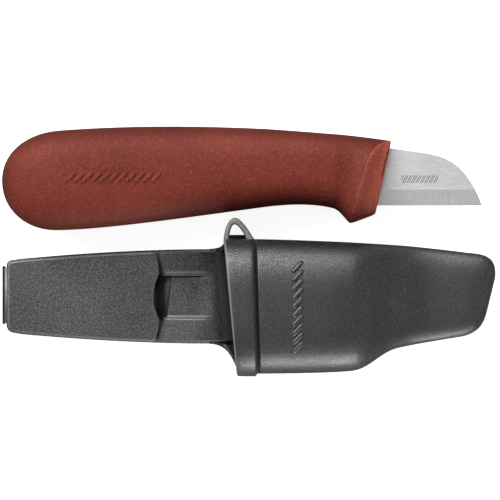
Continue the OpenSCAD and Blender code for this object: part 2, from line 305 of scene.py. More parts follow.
def blade_steel():
    """Brushed flats with slightly wavy lengthwise lines, and a bevel ground across."""
    material, tree, shader = new_tree("blade_steel")
    where = place(tree)
    low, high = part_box("blade")
    coords = node(tree, "ShaderNodeSeparateXYZ")
    tree.links.new(where, coords.inputs["Vector"])
    grind_y = low.y / MM + BEVEL_H
    on_flat = remap(tree, coords.outputs["Y"], grind_y - 0.02, grind_y + 0.02, 0, 1)
    along = noise(tree, place(tree, (0.3, 2.2, 1.0)), 1.0, 4.0, 0.62, 1.1)
    fine = noise(tree, place(tree, (0.5, 9.0, 1.0)), 1.0, 2.0, 0.6, 0.5)
    along = maths(tree, "MULTIPLY_ADD", fine, 0.35, maths(tree, "MULTIPLY", along, 0.65))
    across = noise(tree, place(tree, (5.5, 0.22, 1.0)), 1.0, 3.0, 0.6, 0.05)
    lines = node(tree, "ShaderNodeMix", {"data_type": "FLOAT"})
    tree.links.new(on_flat, lines.inputs[0])
    tree.links.new(across, lines.inputs[2])
    tree.links.new(along, lines.inputs[3])
    brushed = lines.outputs[0]
    cloud = noise(tree, where, 0.1, 2.0)
    tone = maths(tree, "MULTIPLY_ADD", brushed, 0.75, maths(tree, "MULTIPLY", cloud, 0.25))
    flat = blend_colours(tree, tone, (0.78, 0.78, 0.79), (1.0, 1.0, 1.0), 0.34, 0.66)
    # The bevel's steel is painted lighter than the flats', to make up for its tilt away from the light.
    bevel = blend_colours(tree, tone, (0.84, 0.84, 0.85), (1.0, 1.0, 1.0), 0.3, 0.7)
    steel = mix_colours(tree, on_flat, bevel, flat)
    etched = etched_row(tree, coords.outputs["X"], coords.outputs["Y"])
    tree.links.new(mix_colours(tree, maths(tree, "MULTIPLY", etched, 0.85), steel, (0.05, 0.05, 0.055)),
                   shader.inputs["Base Color"])
    shader.inputs["Metallic"].default_value = 1.0
    tree.links.new(remap(tree, brushed, 0.3, 0.7, 0.34, 0.5), shader.inputs["Roughness"])
    add_bump(tree, shader, brushed, 0.012)
    return material


# ---------------------------------------------------------------- shapes

BUTT_X = -74.9
BEVEL_H = 4.8
KNIFE_Y = 22.0
SHEATH_Y = -17.0
SWELL = 11.0
GRIP_WALL = 2.6
HANDLE_TOP = [
    [(BUTT_X, -0.4), (BUTT_X, 8.6), (-67, 14.1), (-57.5, 14.85)],
    [(-57.5, 14.85), (-38, 16.4), (-16, 16.4), (6, 15.3)],
    [(6, 15.3), (13, 14.8), (20, 14.3), (27, 13.7)],
    [(27, 13.7), (32, 13.3), (37, 12.6), (42.2, 11.9)],
    [(42.2, 11.9), (42.6, 11.8), (43, 11.7), (43.3, 11.6)]]
HANDLE_LOW = [
    [(BUTT_X, -0.4), (BUTT_X, -9.3), (-67.6, -15.5), (-58.5, -15.45)],
    [(-58.5, -15.45), (-45, -15.4), (-20, -11.8), (5, -8.4)],
    [(5, -8.4), (12, -7.5), (20, -7.2), (26, -8.9)],
    [(26, -8.9), (27.8, -9.7), (29, -11.6), (30.4, -13.05)],
    [(30.4, -13.05), (31, -13.7), (32.2, -12.95), (38.4, -10.7)]]
HANDLE_HALF = [(0, SWELL), (SWELL, 9.7), (9.7, 8.8), (8.8, 9.6), (9.6, 6.4)]
BUTT_H = math.dist(HANDLE_TOP[0][3], HANDLE_LOW[0][3])
BUTT_POWER = 0.85
HANDLE_POWER = 2.6
SCALLOP = 0.9
RIDGE_BOW = 4.6
BOW_POWER = 14
# Painted shade on the grip: strength and start across the section on its lower and upper flanks, and
# strength and reach along the butt.
RIM_DARK = 0.55
RIM_START = 0.8
TOP_DARK = 0.75
TOP_START = 0.64
BUTT_DARK = 0.9
BUTT_REACH = 0.6

POUCH_TOP = [
    [(1.3, 20.9), (12, 20.7), (22, 20.3), (31, 19.9)],
    [(31, 19.9), (36, 19.6), (41, 19.3), (45.5, 19)],
    [(45.5, 19), (52, 18.5), (59, 17.7), (66, 16.8)],
    [(66, 16.8), (70.5, 16.35), (75.8, 16.5), (75, 9.2)]]
POUCH_LOW = [
    [(2.5, -20), (12, -19.9), (24, -19.8), (31, -19.2)],
    [(31, -19.2), (37, -18.6), (39.5, -13.6), (45.5, -12.2)],
    [(45.5, -12.2), (50, -11.2), (57, -10), (64, -8.9)],
    [(64, -8.9), (68.5, -8.2), (71, -6.2), (72.2, -2.2)]]
MOUTH_H = 28.0
COLLAR_LIP = 0.8
POUCH_H = MOUTH_H - COLLAR_LIP
POUCH_FRONT = [(POUCH_H, POUCH_H - 0.15, POUCH_H - 0.05, 25.8), (25.8, 25, 19.5, 16.6),
               (16.6, 12.5, 13.1, 12.8), (12.8, 12.6, 12.2, 9.6)]
POUCH_BACK = [(0, 0, 0, 0), (0, 0, 3, 3.4), (3.4, 3.6, 3.8, 4), (4, 4, 4.2, 6.4)]
WALL = 2.0
FRONT_POWER = 2.9
BACK_POWER = 7.0
MOUTH_TOP = (-7.6, 21.0)
MOUTH_LOW = (-3.6, -20.8)
COLLAR_TOP = POUCH_TOP[0][0]
COLLAR_LOW = (POUCH_LOW[0][0][0], POUCH_LOW[0][0][1] - COLLAR_LIP)
GROOVE_W = 1.15
GROOVE_D = 1.5

STRAP_X = -73.8
STRAP_ROUND_LOW = 2.7
STRAP_ROUND_HIGH = 1.9
TONGUE_T = 2.0
FLAP_Z = 6.4
FLAP_T = 1.8
TONGUE_END = -13.6
TONGUE_HALF = 14.4
TONGUE_TAPER = 3.3
TONGUE_Y = 3.4
TONGUE_RIM = 0.85
FLAP_INSET = 0.35
FLAP_APEX = -26.2
FLAP_ROUND = 42.0
FLAP_GAP = 0.75
NOTCH_D = 2.6
NOTCH_HALF = 5.9
SEAT_H = FLAP_Z + FLAP_T - 0.6
SEAT_X = -29.0


def cubic(points, t):
    a, b, c, d = points
    w = ((1 - t) ** 3, 3 * t * (1 - t) ** 2, 3 * t * t * (1 - t), t ** 3)
    if isinstance(a, (int, float)):
        return w[0] * a + w[1] * b + w[2] * c + w[3] * d
    return tuple(w[0] * a[k] + w[1] * b[k] + w[2] * c[k] + w[3] * d[k] for k in range(len(a)))


def between(a, b, t):
    return tuple(p + t * (q - p) for p, q in zip(a, b))


def toward(a, b, d):
    return between(a, b, d / math.dist(a, b))


def smooth(t):
    t = min(1.0, max(0.0, t))
    return t * t * (3 - 2 * t)


def ridge(distance, half_width):
    """Rounded bump, 1 high in the middle and 0 from half_width on."""
    return max(0.0, 1 - (distance / half_width) ** 2)


def squared(a, n):
    return math.copysign(abs(a) ** (2 / n), a)


def section(top, low, high_z, low_z, front_power, back_power, sides, bow=0.0):
    """Closed rounded section between two plan points, in millimetres."""
    points = []
    for k in range(sides):
        angle = 2 * math.pi * k / sides
        n = back_power if k > sides / 2 else front_power
        v = (1 + squared(math.cos(angle), n)) / 2
        w = squared(math.sin(angle), n)
        x = low[0] + (top[0] - low[0] - bow) * v + bow * v ** BOW_POWER
        points.append((x, low[1] + (top[1] - low[1]) * v, (high_z + low_z) / 2 + w * (high_z - low_z) / 2))
    return points


def handle_half(i, t):
    if i == 0:
        return SWELL * (math.dist(cubic(HANDLE_TOP[0], t), cubic(HANDLE_LOW[0], t)) / BUTT_H) ** BUTT_POWER
    start, end = HANDLE_HALF[i]
    return start + (end - start) * smooth(t) - (SCALLOP * math.sin(math.pi * t) if i == 3 else 0)


def handle_section(i, t, d, sides, ahead=0.0):
    a, b = cubic(HANDLE_TOP[i], t), cubic(HANDLE_LOW[i], t)
    h = handle_half(i, t) - d
    bow = RIDGE_BOW * t * t if i == 3 else RIDGE_BOW * (1 - t) if i == 4 else 0
    points = section(toward(a, b, d), toward(b, a, d), h, -h, HANDLE_POWER, HANDLE_POWER, sides, bow)
    return [(x + ahead, y + KNIFE_Y, z + SWELL) for x, y, z in points]


def pouch_section(i, t, d, sides, thin=0.0):
    """Section of the pouch drawn in by d on every side, and by thin more at its front and back."""
    a, b = cubic(POUCH_TOP[i], t), cubic(POUCH_LOW[i], t)
    points = section(toward(a, b, d), toward(b, a, d), cubic(POUCH_FRONT[i], t) - d - thin,
                     cubic(POUCH_BACK[i], t) + d + thin, FRONT_POWER, BACK_POWER, sides)
    return [(x, y + SHEATH_Y, z) for x, y, z in points]


def collar_section(t, d, sides, thin=0.0):
    """Section of the collar drawn in by d, and by thin more at its front, back and lower end."""
    a, b = between(MOUTH_TOP, COLLAR_TOP, t), between(MOUTH_LOW, COLLAR_LOW, t)
    points = section(toward(a, b, d), toward(b, a, d + thin), MOUTH_H - d - thin, d + thin,
                     FRONT_POWER, BACK_POWER, sides)
    return [(x, y + SHEATH_Y, z) for x, y, z in points]


def strap_half(x):
    return TONGUE_HALF - TONGUE_TAPER * (max(0.0, TONGUE_END - x) / 60) ** 1.75


def mouth_x(y):
    """X of the slanted mouth plane at a place across it."""
    share = (y - MOUTH_LOW[1]) / (MOUTH_TOP[1] - MOUTH_LOW[1])
    return MOUTH_LOW[0] + share * (MOUTH_TOP[0] - MOUTH_LOW[0])


def edge_arc(v):
    """X of the shallow arc that the flap's free edge follows, at distance v from the strap's middle."""
    return FLAP_APEX - FLAP_ROUND + math.sqrt(FLAP_ROUND ** 2 - v * v)


def flap_edge(v):
    """The free edge itself: the arc with a thumb notch that flows into it."""
    return edge_arc(v) - NOTCH_D * math.exp(-abs(v / NOTCH_HALF) ** 3)


# ---------------------------------------------------------------- mesh building

def make_mesh(name, points, faces):
    mesh = bpy.data.meshes.new(name)
    mesh.from_pydata([tuple(c * MM for c in p) for p in points], [], faces)
    mesh.validate()
    form = bmesh.new()
    form.from_mesh(mesh)
    bmesh.ops.recalc_face_normals(form, faces=form.faces)
    form.to_mesh(mesh)
    form.free()
    for face in mesh.polygons:
        face.use_smooth = True
    made = bpy.data.objects.new(name, mesh)
    bpy.context.scene.collection.objects.link(made)
    return made


def mark_painted_light(piece, values):
    """Store each point's painted light for the plastics: 1 shade deep in a hollow, 0 open, -1 highlight on
    an edge.
    """
    piece.data.attributes.new(PAINTED_LIGHT, "FLOAT", "POINT").data.foreach_set("value", values)


def loft(name, rows):
    """Surface through closed rows of points, with flat ends."""
    sides = len(rows[0])
    points = [p for row in rows for p in row]
    faces = []
    for i in range(len(rows) - 1):
        a, b = i * sides, (i + 1) * sides
        for k in range(sides):
            m = (k + 1) % sides
            faces.append((a + k, a + m, b + m, b + k))
    faces.append(tuple(range(sides)))
    faces.append(tuple((len(rows) - 1) * sides + k for k in reversed(range(sides))))
    return make_mesh(name, points, faces)


def finish_piece(piece, body, material, slot, *nodes):
    piece.data.materials.clear()
    piece.data.materials.append(material)
    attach(piece, body)
    if nodes:
        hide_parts(*nodes)
    return piece


def offset_outline(points, d):
    """Closed outline (anticlockwise) moved inwards by d."""
    count = len(points)
    moved = []
    for k in range(count):
        p, q, r = points[k - 1], points[k], points[(k + 1) % count]
        a = Vector((q[0] - p[0], q[1] - p[1])).normalized()
        b = Vector((r[0] - q[0], r[1] - q[1])).normalized()
        normal = Vector((-a.y - b.y, a.x + b.x)).normalized()
        grow = 1 / max(0.5, normal.dot(Vector((-a.y, a.x))))
        moved.append((q[0] + normal.x * d * grow, q[1] + normal.y * d * grow))
    return moved


def edge_rows(low_z, high_z, low_round, high_round, steps=5):
    """(inset, height) pairs down a rounded edge, from the underside to the top."""
    rows = []
    for k in range(steps + 1):
        a = math.pi / 2 * k / steps
        rows.append((low_round * (1 - math.sin(a)), low_z + low_round * (1 - math.cos(a))))
    for k in range(steps + 1):
        a = math.pi / 2 * k / steps
        rows.append((high_round * (1 - math.cos(a)), high_z - high_round * (1 - math.sin(a))))
    return rows


def plate(name, outline, low_z, high_z, low_round, high_round):
    """Flat plate with rounded edges."""
    rows = []
    for inset, z in edge_rows(low_z, high_z, low_round, high_round):
        rows.append([(x, y, z) for x, y in offset_outline(outline, inset)])
    return loft(name, rows)


def arc_corner(start, corner, end, steps=7):
    """Quadratic curve round a corner."""
    return [tuple((1 - t) ** 2 * s + 2 * t * (1 - t) * c + t * t * e for s, c, e in zip(start, corner, end))
            for t in (k / steps for k in range(steps + 1))]


def resample(points, step):
    """Closed outline with points about step apart, so that offsets stay even."""
    made = []
    count = len(points)
    for k in range(count):
        a, b = points[k], points[(k + 1) % count]
        pieces = max(1, round(math.dist(a, b) / step))
        made.extend(between(a, b, s / pieces) for s in range(pieces))
    return made


def rows_of(i, start, end, steps):
    return [(i, start + (end - start) * k / steps) for k in range(steps + 1)]


def tube(name, path, radius, sunk, sides=16):
    """Round strand along a path, sunk into a surface, with its ends drawn in and painted shade along its
    foot.
    """
    rows = []
    count = len(path)
    angles = [2 * math.pi * s / sides for s in range(sides)]
    for k, p in enumerate(path):
        ahead = Vector(path[min(k + 1, count - 1)]) - Vector(path[max(k - 1, 0)])
        side = ahead.cross(Vector((0, 0, 1))).normalized()
        up = side.cross(ahead).normalized()
        taper = min(1.0, 0.15 + min(k, count - 1 - k) / 4)
        rows.append([tuple(Vector(p) - up * sunk + (side * math.cos(a) + up * math.sin(a)) * radius * taper)
                     for a in angles])
    piece = loft(name, rows)
    foot = sunk / radius
    mark_painted_light(piece, [1 - smooth((math.sin(a) - foot) / (0.8 - foot)) for _ in path for a in angles])
    return piece


def strand_plans(count, pitch, lean, half, steps=16):
    """Plans of the S-shaped strands of a laid rope, along u with side v."""
    strands = []
    for n in range(count):
        middle = (n - (count - 1) / 2) * pitch
        strands.append([(middle + lean * math.sin(math.pi / 2 * s), half * s)
                        for s in (2 * k / steps - 1 for k in range(steps + 1))])
    return strands


# ---------------------------------------------------------------- knife

STRAND_R = 0.85
STRAND_SUNK = 0.4
CREST_IN = 0.12
CREST_LIP = 0.7
NOSE_ROUND = 0.45


def rim_shade(i, t, k, sides):
    """Dark tint on the grip's flanks and butt, set to match the photo's levels there.

    The tint is painted shade on the edges that turn away from the light. Whether the
    red is darker there or only less lit can't be told from one photo.
    """
    across = squared(math.cos(2 * math.pi * k / sides), HANDLE_POWER)
    dark, first = (RIM_DARK, RIM_START) if across < 0 else (TOP_DARK, TOP_START)
    flank = dark * smooth((abs(across) - first) / (1 - first))
    return max(flank, BUTT_DARK * (1 - smooth(t / BUTT_REACH))) if i == 0 else flank


def build_handle(grip_material, core_material):
    """Grip up to the ridge, and the core that shows as the nose in front of it."""
    sides = 112
    butt = [(0, 0.004 + 0.976 * (k / 30) ** 1.6) for k in range(31)]
    palm, neck = rows_of(1, 0, 0.98, 34), rows_of(2, 0, 0.96, 14)
    guard, nose = rows_of(3, 0, 0.955, 26), rows_of(4, 0.08, 0.96, 11)
    inside = rows_of(0, 0.5, 0.9, 4) + palm[::3] + neck[::3] + guard[::3]
    outer = [handle_section(i, t, 0, sides) for i, t in butt + palm + neck + guard]
    crest = [handle_section(3, 0.98, 0.025, sides), handle_section(3, 0.995, 0.07, sides),
             handle_section(3, 1, CREST_IN, sides), handle_section(3, 1, CREST_LIP, sides)]
    cavity = [handle_section(i, t, GRIP_WALL, sides) for i, t in reversed(inside)]
    grip = loft("handle_grip_shell", outer + crest + cavity)
    places = butt + palm + neck + guard
    shades = [rim_shade(i, t, k, sides) for i, t in places for k in range(sides)]
    mark_painted_light(grip, shades + shades[-sides:] * len(crest) + [0.0] * (sides * len(cavity)))
    finish_piece(grip, "knife", grip_material, "grip_red", "handle_grip")
    hidden = [handle_section(i, t, GRIP_WALL + 0.05, sides) for i, t in inside]
    face = [handle_section(3, 1, CREST_LIP, sides, 0.02), handle_section(3, 1, CREST_IN, sides, 0.02),
            handle_section(4, 0.015, 0.05, sides), handle_section(4, 0.04, 0.01, sides)]
    front = [handle_section(i, t, 0, sides) for i, t in nose]
    rounded = [handle_section(4, 1, NOSE_ROUND * (1 - math.cos(a)), sides, -NOSE_ROUND * (1 - math.sin(a)))
               for a in (math.pi / 2 * k / 4 for k in range(5))]
    rounded.append(handle_section(4, 1, NOSE_ROUND + 0.4, sides))
    core = loft("handle_core_nose", hidden + face + front + rounded)
    finish_piece(core, "knife", core_material, "core_red", "handle_core")


def stretch_share(tops, lows, x):
    """How far along a stretch of plan curves the place x is."""
    low_t, high_t = 0.0, 1.0
    for _ in range(30):
        t = (low_t + high_t) / 2
        if (cubic(tops, t)[0] + cubic(lows, t)[0]) / 2 < x:
            low_t = t
        else:
            high_t = t
    return t


def handle_front_z(x, y):
    """Height of the handle's upper face at a place on the palm stretch."""
    t = stretch_share(HANDLE_TOP[1], HANDLE_LOW[1], x)
    a, b = cubic(HANDLE_TOP[1], t), cubic(HANDLE_LOW[1], t)
    v = (y - KNIFE_Y - (a[1] + b[1]) / 2) / ((a[1] - b[1]) / 2)
    return SWELL + handle_half(1, t) * max(0.0, 1 - abs(v) ** HANDLE_POWER) ** (1 / HANDLE_POWER)


def build_handle_mark(material):
    """Raised rope row in place of the moulded mark."""
    for n, plan in enumerate(strand_plans(11, 2.6, 1.5, 2.1)):
        points = [(x, y, handle_front_z(x, y)) for x, y in ((-41 + u, 22.5 + v) for u, v in plan)]
        piece = tube(f"grip_strand_{n + 1}", points, STRAND_R, STRAND_SUNK)
        finish_piece(piece, "knife", material, "grip_red")


# ---------------------------------------------------------------- sheath

# Rows of the collar's rim as (share of its length, inset, relief), then rows of its fall into the groove
# and of the groove as (share, how much thinner, relief).
# The relief column is painted light: shade on the mouth's inner edge, a highlight on its lip, and shade
# down into the groove.
COLLAR_RIM = (
    (0, 1.3, 0.6), (0, 0.95, 0.2), (0.01, 0.55, -0.5),
    (0.03, 0.25, -0.8), (0.06, 0.08, -0.3), (0.1, 0, 0),
    (0.3, 0, 0), (0.6, 0, 0), (0.9, 0, 0))
COLLAR_FALL = ((0.935, 0.05, 0), (0.97, 0.2, 0.1), (1.0, 0.45, 0.4), (1.03, 0.75, 0.8), (1.045, 1.1, 1))
GROOVE_ROWS = (
    (0.3, GROOVE_D, 1), (0.95, GROOVE_D, 1), (1, GROOVE_D * 0.5, 0.8),
    (1.05, 0.12, 0.1), (1.15, 0, 0), (1.4, 0, 0))


def build_pouch(material):
    """Pouch and collar as one open shell, from the cavity's end out over the mouth to the tip."""
    sides = 144
    outer = [pouch_section(i, t, 0, sides) for i, t in
             rows_of(0, 0.06, 0.97, 20) + rows_of(1, 0, 0.97, 28) + rows_of(2, 0, 0.97, 18)
             + [(3, 0.93 * (k / 22)) for k in range(23)]]
    turns = [math.pi / 2 * k / 8 for k in range(1, 9)]
    tip = [pouch_section(3, 0.93 + 0.07 * math.sin(a), 0.1 * (1 - math.cos(a)), sides,
                         1.1 * (1 - math.cos(a)))
           for a in turns]
    groove = GROOVE_W / (POUCH_TOP[0][3][0] - POUCH_TOP[0][0][0]) / 1.08
    dips = [pouch_section(0, groove * share, 0.02, sides, thin) for share, thin, _ in GROOVE_ROWS]
    collar = [collar_section(t, d, sides) for t, d, _ in COLLAR_RIM]
    collar += [collar_section(t, 0, sides, thin) for t, thin, _ in COLLAR_FALL]
    inside = ((0.95, WALL + 0.9), (0.8, WALL + COLLAR_LIP), (0.5, WALL + COLLAR_LIP), (0.15, WALL + 0.6),
              (0.03, WALL + 0.1))
    mouth = [collar_section(t, d, sides) for t, d in inside]
    inner = (rows_of(0, 0.08, 0.95, 8) + rows_of(1, 0, 0.95, 10)
             + rows_of(2, 0, 0.9, 5) + rows_of(3, 0, 0.7, 5))
    cavity = [pouch_section(i, t, WALL, sides) for i, t in reversed(inner)]
    # Painted shade inside the cavity and the mouth, then the collar's rows of painted light, and none
    # outside.
    hollow = [1] * len(cavity) + [0.8] * len(mouth)
    hollow += [relief for _, _, relief in COLLAR_RIM + COLLAR_FALL + GROOVE_ROWS]
    hollow += [0] * (len(outer) + len(tip))
    shell = loft("sheath_shell", cavity + mouth + collar + dips + outer + tip)
    mark_painted_light(shell, [value for value in hollow for _ in range(sides)])
    return finish_piece(shell, "sheath", material, "sheath_grey", "sheath_pouch", "mouth_collar")


def pouch_front_z(x, y):
    """Height of the pouch's front at a place on its first stretch."""
    t = stretch_share(POUCH_TOP[0], POUCH_LOW[0], x)
    a, b = cubic(POUCH_TOP[0], t), cubic(POUCH_LOW[0], t)
    v = (y - SHEATH_Y - (a[1] + b[1]) / 2) / ((a[1] - b[1]) / 2)
    half = cubic(POUCH_FRONT[0], t) / 2
    return half + half * max(0.0, 1 - abs(v) ** FRONT_POWER) ** (1 / FRONT_POWER)


def build_pouch_mark(material):
    """Raised rope row down the pouch in place of the moulded mark."""
    for n, plan in enumerate(strand_plans(10, 2.7, 1.6, 2.2)):
        points = [(x, y, pouch_front_z(x, y)) for x, y in ((14.8 + v, -16.8 + u) for u, v in plan)]
        piece = tube(f"pouch_strand_{n + 1}", points, STRAND_R, STRAND_SUNK)
        finish_piece(piece, "sheath", material, "sheath_grey")


def strap_edges(end_x, d):
    """Lower edge of the strap from the fold to end_x and upper edge back again, drawn in by d."""
    start = STRAP_X + d
    xs = [start + (end_x - start) * k / 30 for k in range(31)]
    low = [(x, TONGUE_Y - strap_half(x) + d) for x in xs]
    high = [(x, TONGUE_Y + strap_half(x) - d) for x in reversed(xs)]
    return low, high


def round_fold_end(low, high):
    """Lower and upper edge of a strap outline, with rounded corners at the fold end."""
    a, b = low[0], high[-1]
    first = arc_corner((a[0], a[1] + STRAP_ROUND_LOW), a, (a[0] + STRAP_ROUND_LOW, a[1] - 0.05))
    last = arc_corner((b[0] + STRAP_ROUND_HIGH, b[1] + 0.05), b, (b[0], b[1] - STRAP_ROUND_HIGH))
    low = first + [p for p in low if p[0] > first[-1][0] + 0.3]
    return low, [p for p in high if p[0] > last[0][0] + 0.3] + last


def build_flap(material):
    low, high = round_fold_end(*strap_edges(-31.0, FLAP_INSET))
    half = strap_half(-28.5) - FLAP_INSET
    reach = half - 0.9
    edge = [(flap_edge(v), TONGUE_Y + v) for v in (reach * (k / 40 - 1) for k in range(81))]
    low_x, high_x = edge[0][0], edge[-1][0]
    low_y, high_y = TONGUE_Y - half, TONGUE_Y + half
    low_corner = arc_corner((low_x - 1.3, low_y), (low_x - 0.15, low_y), edge[0])
    high_corner = arc_corner(edge[-1], (high_x - 0.15, high_y), (high_x - 1.3, high_y))
    outline = low + low_corner + edge[1:-1] + high_corner + high
    outline = [(x, y + SHEATH_Y) for x, y in resample(outline, 0.6)]
    top = FLAP_Z + FLAP_T
    # Steps as (inset, height, relief): painted shade round the plate's underside edge, painted highlight on
    # its upper rounded edge.
    steps = ((0.65, FLAP_Z, 0), (0.25, FLAP_Z, 0.5), (0, FLAP_Z + 0.25, 0.5), (0, top - 0.62, 0),
             (0.07, top - 0.42, -0.1), (0.3, top - 0.22, -0.3), (0.55, top - 0.07, -0.25),
             (0.72, top, -0.05), (0.85, top, 0))
    rows = [[(x, y, z) for x, y in offset_outline(outline, d)] for d, z, _ in steps]
    piece = loft("belt_flap_plate", rows)
    mark_painted_light(piece, [relief for _, _, relief in steps for _ in outline])
    return finish_piece(piece, "flap", material, "sheath_grey", "belt_flap")


def build_tongue(material):
    low, high = round_fold_end(*strap_edges(-9.0, 0))
    outline = [(x, y + SHEATH_Y) for x, y in resample(low + high, 1.6)]
    inner = [(TONGUE_RIM, TONGUE_T), (TONGUE_RIM + 0.25, TONGUE_T)]
    steps = [(0.7, 0)] + edge_rows(0, TONGUE_T, 0.3, 0.5) + inner
    rows = [[(x, y, z) for x, y in offset_outline(outline, inset)] for inset, z in steps]
    piece = loft("belt_tongue_plate", rows)
    # Painted highlight on the tongue's ledge, from its outline in to the seat's rim.
    mark_painted_light(piece, [-0.9 if z == TONGUE_T and inset <= TONGUE_RIM else 0.0
                        for inset, z in steps for _ in outline])
    return finish_piece(piece, "sheath", material, "sheath_grey", "belt_tongue")


FLARE_TOP = [(-11.8, 17.9), (-8.6, 18.1), (-8.1, 18.6), (-6.9, 20.55)]
FLARE_LOW = [(-11.8, -11.1), (-6.6, -11.3), (-5.2, -14.5), (-2.9, -20.35)]
FLARE_WALL = 1.7


def build_flare(material):
    """Scoop that widens the strap into the collar, its side walls rising to the collar's middle."""
    rows = []
    shades = []
    steps = 22
    across = 24
    for k in range(steps + 1):
        t = k / steps
        top, low = cubic(FLARE_TOP, t), cubic(FLARE_LOW, t)
        rise = 2.0 + 12.0 * t ** 2.2
        outer, inner = [], []
        for s in range(across + 1):
            angle = math.pi + math.pi * s / across
            v, w = squared(math.cos(angle), BACK_POWER), squared(math.sin(angle), BACK_POWER)
            for path, inset, floor in ((outer, 0.0, 0.0), (inner, FLARE_WALL, TONGUE_T)):
                a, b = toward(top, low, inset), toward(low, top, inset)
                x, y = between(between(a, b, 0.5), b, v)
                path.append((x, y + SHEATH_Y, rise + w * (rise - floor)))
        rows.append(outer + list(reversed(inner)))
        # Painted shade on the flare's inner face, deepening towards the collar.
        shades += [0.0] * len(outer) + [smooth(t / 0.7)] * len(inner)
    piece = loft("mouth_flare", rows)
    mark_painted_light(piece, shades)
    return finish_piece(piece, "sheath", material, "sheath_grey")


# Seat: distances from the strap's middle, heights and line widths.
SEAT_INSET = 0.75
CHANNEL_HALF = 6.4
CHANNEL_DROP = 0.7
CHANNEL_MIDDLE = -24.2
CHANNEL_SLANT = 0.1
SEAT_DISH = 0.07
SEAT_FALL = 4.6
SEAT_RUN = 25.0
RECESS_X = -28.4
RECESS_RISE = 3.2
RECESS_RUN = 4.2
# Moulded lines beside the channel: distance from the strap's middle, half width, relief.
# The relief sinks a line above 0 and raises it below 0, and gives it painted shade above 0 and a painted
# highlight below 0.
SEAT_LINES = [(CHANNEL_HALF + 0.9, 0.4, -0.25), (CHANNEL_HALF - 0.3, 0.45, 0.75),
              (-CHANNEL_HALF + 0.35, 0.28, -0.45), (-CHANNEL_HALF - 0.05, 0.22, 0.6),
              (-CHANNEL_HALF - 0.5, 0.3, -0.5)]
SEAT_LINE_D = 0.45
# Strength of the painted highlight towards the seat's lower side, and reach of the painted shade by the
# flap's edge and by the mouth.
SEAT_PAINTED_HIGHLIGHT = 0.07
SEAT_SHADE = 1.5
MOUTH_SHADE = 6.0
LINE_FINE = 0.08


def seat_side(x):
    """Height of the seat's side view, dropping ever faster towards the mouth."""
    return SEAT_H - SEAT_FALL * max(0.0, (x - SEAT_X) / SEAT_RUN) ** 2.2


def recess_floor(x):
    """Height of the finger recess, rising from the strap to the channel."""
    return TONGUE_T + RECESS_RISE * smooth((x - RECESS_X) / RECESS_RUN)


def recess_shade(x):
    """Painted shade in the finger recess: darkest under the flap's edge."""
    return (0.86 - 0.5 * smooth((x - RECESS_X) / RECESS_RUN)) * smooth((x - RECESS_X + 0.4) / 0.8)


def seat_shade(x, v, from_start):
    """Painted shade by the flap's edge, in the recess and by the mouth; painted light on the lines and
    lower side.
    """
    shade = 0.9 * (1 - smooth(from_start / SEAT_SHADE))
    if abs(v) < CHANNEL_HALF:
        ahead = CHANNEL_MIDDLE + CHANNEL_SLANT * v - x
        shade = max(shade, recess_shade(x) * smooth((ahead + 0.3) / 0.6))
    shade = max(shade, smooth((x - mouth_x(TONGUE_Y + v) + MOUTH_SHADE) / MOUTH_SHADE))
    if shade < 0.1:
        shade -= SEAT_PAINTED_HIGHLIGHT * smooth((CHANNEL_HALF - v) / (2 * CHANNEL_HALF))
    fade = 1 - smooth((x + 15) / 5)
    for line, half_width, relief in SEAT_LINES:
        if from_start > 0.3 and shade < 0.5:
            shade += relief * fade * ridge(v - line, half_width)
    return min(1.0, shade)


def seat_z(x, v, from_edge):
    """Height of the seat: two shoulders, and a channel between moulded lines, open to a finger recess."""
    fade = 1 - smooth((x + 16) / 6)
    height = seat_side(x) + SEAT_DISH * fade * max(0.0, abs(v) - CHANNEL_HALF)
    inside = smooth((CHANNEL_HALF - abs(v)) / 0.3)
    height -= CHANNEL_DROP * fade * inside
    for line, half_width, relief in SEAT_LINES:
        height -= SEAT_LINE_D * relief * fade * ridge(v - line, half_width)
    if abs(v) < CHANNEL_HALF:
        ahead = CHANNEL_MIDDLE + CHANNEL_SLANT * v - x
        sunk = smooth((ahead + 0.3) / 0.6) * smooth((CHANNEL_HALF - abs(v)) / 0.25)
        height -= max(0.0, height - recess_floor(x)) * sunk
    corner = 0.4
    if from_edge < corner:
        height -= corner - math.sqrt(max(0.0, corner ** 2 - (corner - from_edge) ** 2))
    return height


